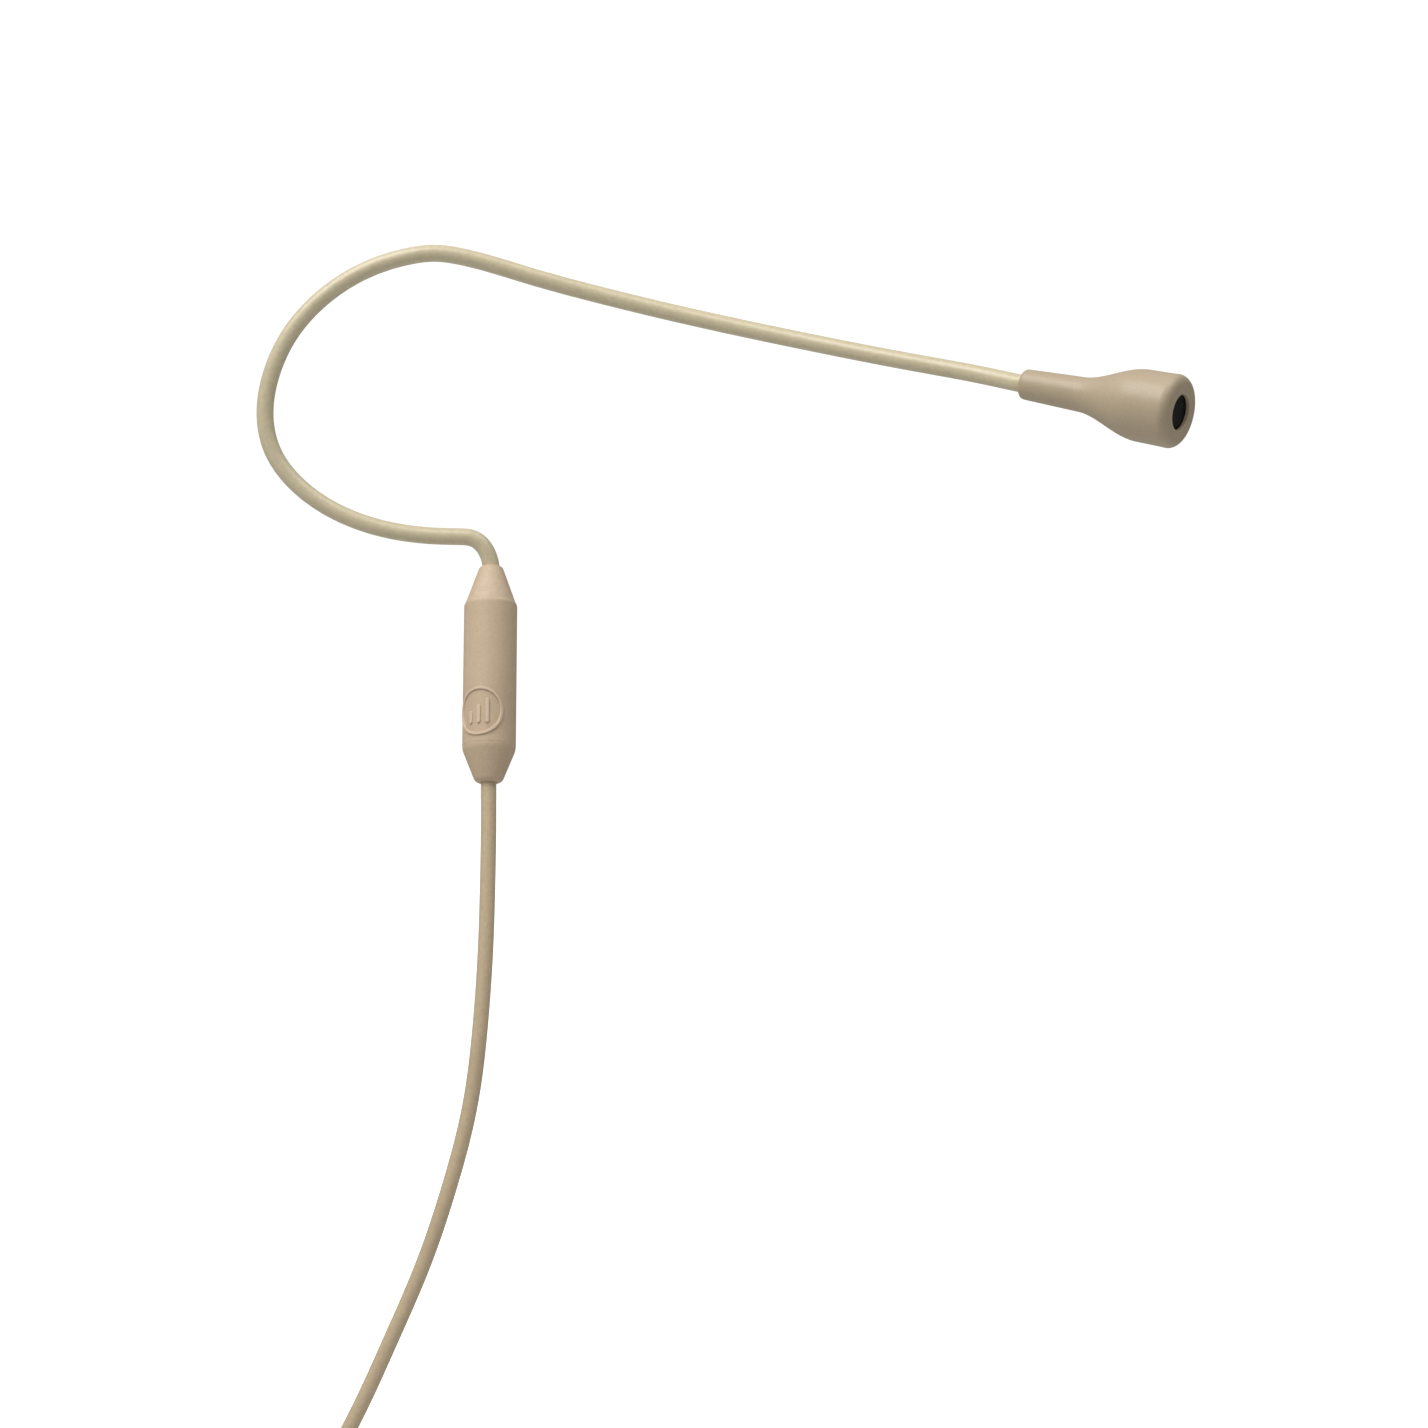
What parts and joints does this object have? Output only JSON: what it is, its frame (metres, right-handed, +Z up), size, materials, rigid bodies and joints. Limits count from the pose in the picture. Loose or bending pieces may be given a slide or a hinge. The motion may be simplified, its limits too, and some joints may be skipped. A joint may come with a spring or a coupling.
{
  "type": "headset microphone",
  "caption": "Single-ear headset microphone: formable ear hook and boom with a small capsule in a soft boot, slim junction, thin cable in a tied coil, and a locking round plug.",
  "frame": {"origin": "underside of the ear hook's crown, where the ear carries it", "axes": "+X forward along the boom, +Z up, boom curves towards -Y round the wearer's cheek"},
  "size_m": [0.1694, 0.0526, 0.1905],
  "materials": {
    "sheath_elastomer": "satin beige elastomer sheath",
    "boot_silicone": "matte beige silicone",
    "moulded_shell": "matte beige moulded shell",
    "cable_jacket": "matte beige cable jacket",
    "spring_steel": "drawn steel wire",
    "lead_jacket": "thin pale insulation",
    "element_metal": "drawn metal can",
    "screen_mesh": "fine dark woven mesh",
    "diaphragm_film": "metallised film on its ring",
    "black_plastic": "black moulded plastic",
    "circuit_board": "green solder resist",
    "capacitor_body": "ceramic",
    "crimp_brass": "crimped brass",
    "tie_fabric": "black hook-and-loop strap",
    "plug_metal": "satin plated metal",
    "plug_rubber": "black rubber",
    "pin_gold": "gold-plated contact"
  },
  "bodies": {
    "lower_hook": {"lower_hook_sheath": "sheath_elastomer", "lower_hook_core_wire": "spring_steel", "lower_hook_lead": "lead_jacket", "upper_end_cap": "moulded_shell", "barrel_sleeve": "moulded_shell", "lower_end_cap": "moulded_shell", "wire_anchor": "crimp_brass", "cable_anchor": "crimp_brass", "joint_board": "circuit_board", "rf_capacitor_1": "capacitor_body", "rf_capacitor_2": "capacitor_body", "splice_wire_1": "lead_jacket", "splice_wire_2": "lead_jacket", "cable": "cable_jacket", "cable_coil": "cable_jacket", "coil_tie": "tie_fabric", "cable_tail": "cable_jacket", "plug_bend_relief": "plug_rubber", "plug_back_nut": "plug_metal", "plug_clamp": "crimp_brass", "plug_shell": "plug_metal", "plug_insert": "black_plastic", "plug_pin_1": "pin_gold", "plug_pin_2": "pin_gold", "plug_pin_3": "pin_gold", "plug_pin_4": "pin_gold", "plug_lead_1": "lead_jacket", "plug_lead_2": "lead_jacket", "lock_spring": "spring_steel"},
    "upper_hook": {"upper_hook_sheath": "sheath_elastomer", "upper_hook_core_wire": "spring_steel", "upper_hook_lead": "lead_jacket"},
    "boom_root": {"boom_root_sheath": "sheath_elastomer", "boom_root_core_wire": "spring_steel", "boom_root_lead": "lead_jacket"},
    "boom": {"boom_sheath": "sheath_elastomer", "boom_core_wire": "spring_steel", "boom_lead": "lead_jacket"},
    "capsule": {"tip_sheath": "sheath_elastomer", "tip_core_wire": "spring_steel", "tip_lead": "lead_jacket", "capsule_boot": "boot_silicone", "boom_ferrule": "crimp_brass", "element_can": "element_metal", "acoustic_screen": "screen_mesh", "screen_ring": "black_plastic", "diaphragm": "diaphragm_film", "spacer_ring": "black_plastic", "back_plate": "element_metal", "insulator_cup": "black_plastic", "fet_board": "circuit_board"},
    "lock_sleeve": {"lock_sleeve": "plug_metal"}
  },
  "joints": [
    {"name": "hook_flex", "type": "hinge", "parent": "lower_hook", "child": "upper_hook", "pos_m": [-0.0245, 0, -0.022], "axis": [0, 1, 0], "range_deg": [-8, 8]},
    {"name": "boom_pitch", "type": "hinge", "parent": "upper_hook", "child": "boom_root", "pos_m": [0.01003, 0, -0.00091], "axis": [0, 1, 0], "range_deg": [-25, 25]},
    {"name": "boom_swing", "type": "hinge", "parent": "boom_root", "child": "boom", "pos_m": [0.02005, -0.00011, -0.00383], "axis": [0.2605, 0, 0.9655], "range_deg": [-25, 25]},
    {"name": "tip_bend", "type": "hinge", "parent": "boom", "child": "capsule", "pos_m": [0.07698, -0.01594, -0.01799], "axis": [0.1925, -0.1202, 0.9739], "range_deg": [-25, 25]},
    {"name": "lock_sleeve_slide", "type": "slide", "parent": "lower_hook", "child": "lock_sleeve", "axis": [-1, 0, 0], "range_m": [0, 0.0016], "stiffness_N_per_m": 500, "springref_m": -0.002, "deforming": ["lock_spring"]}
  ]
}
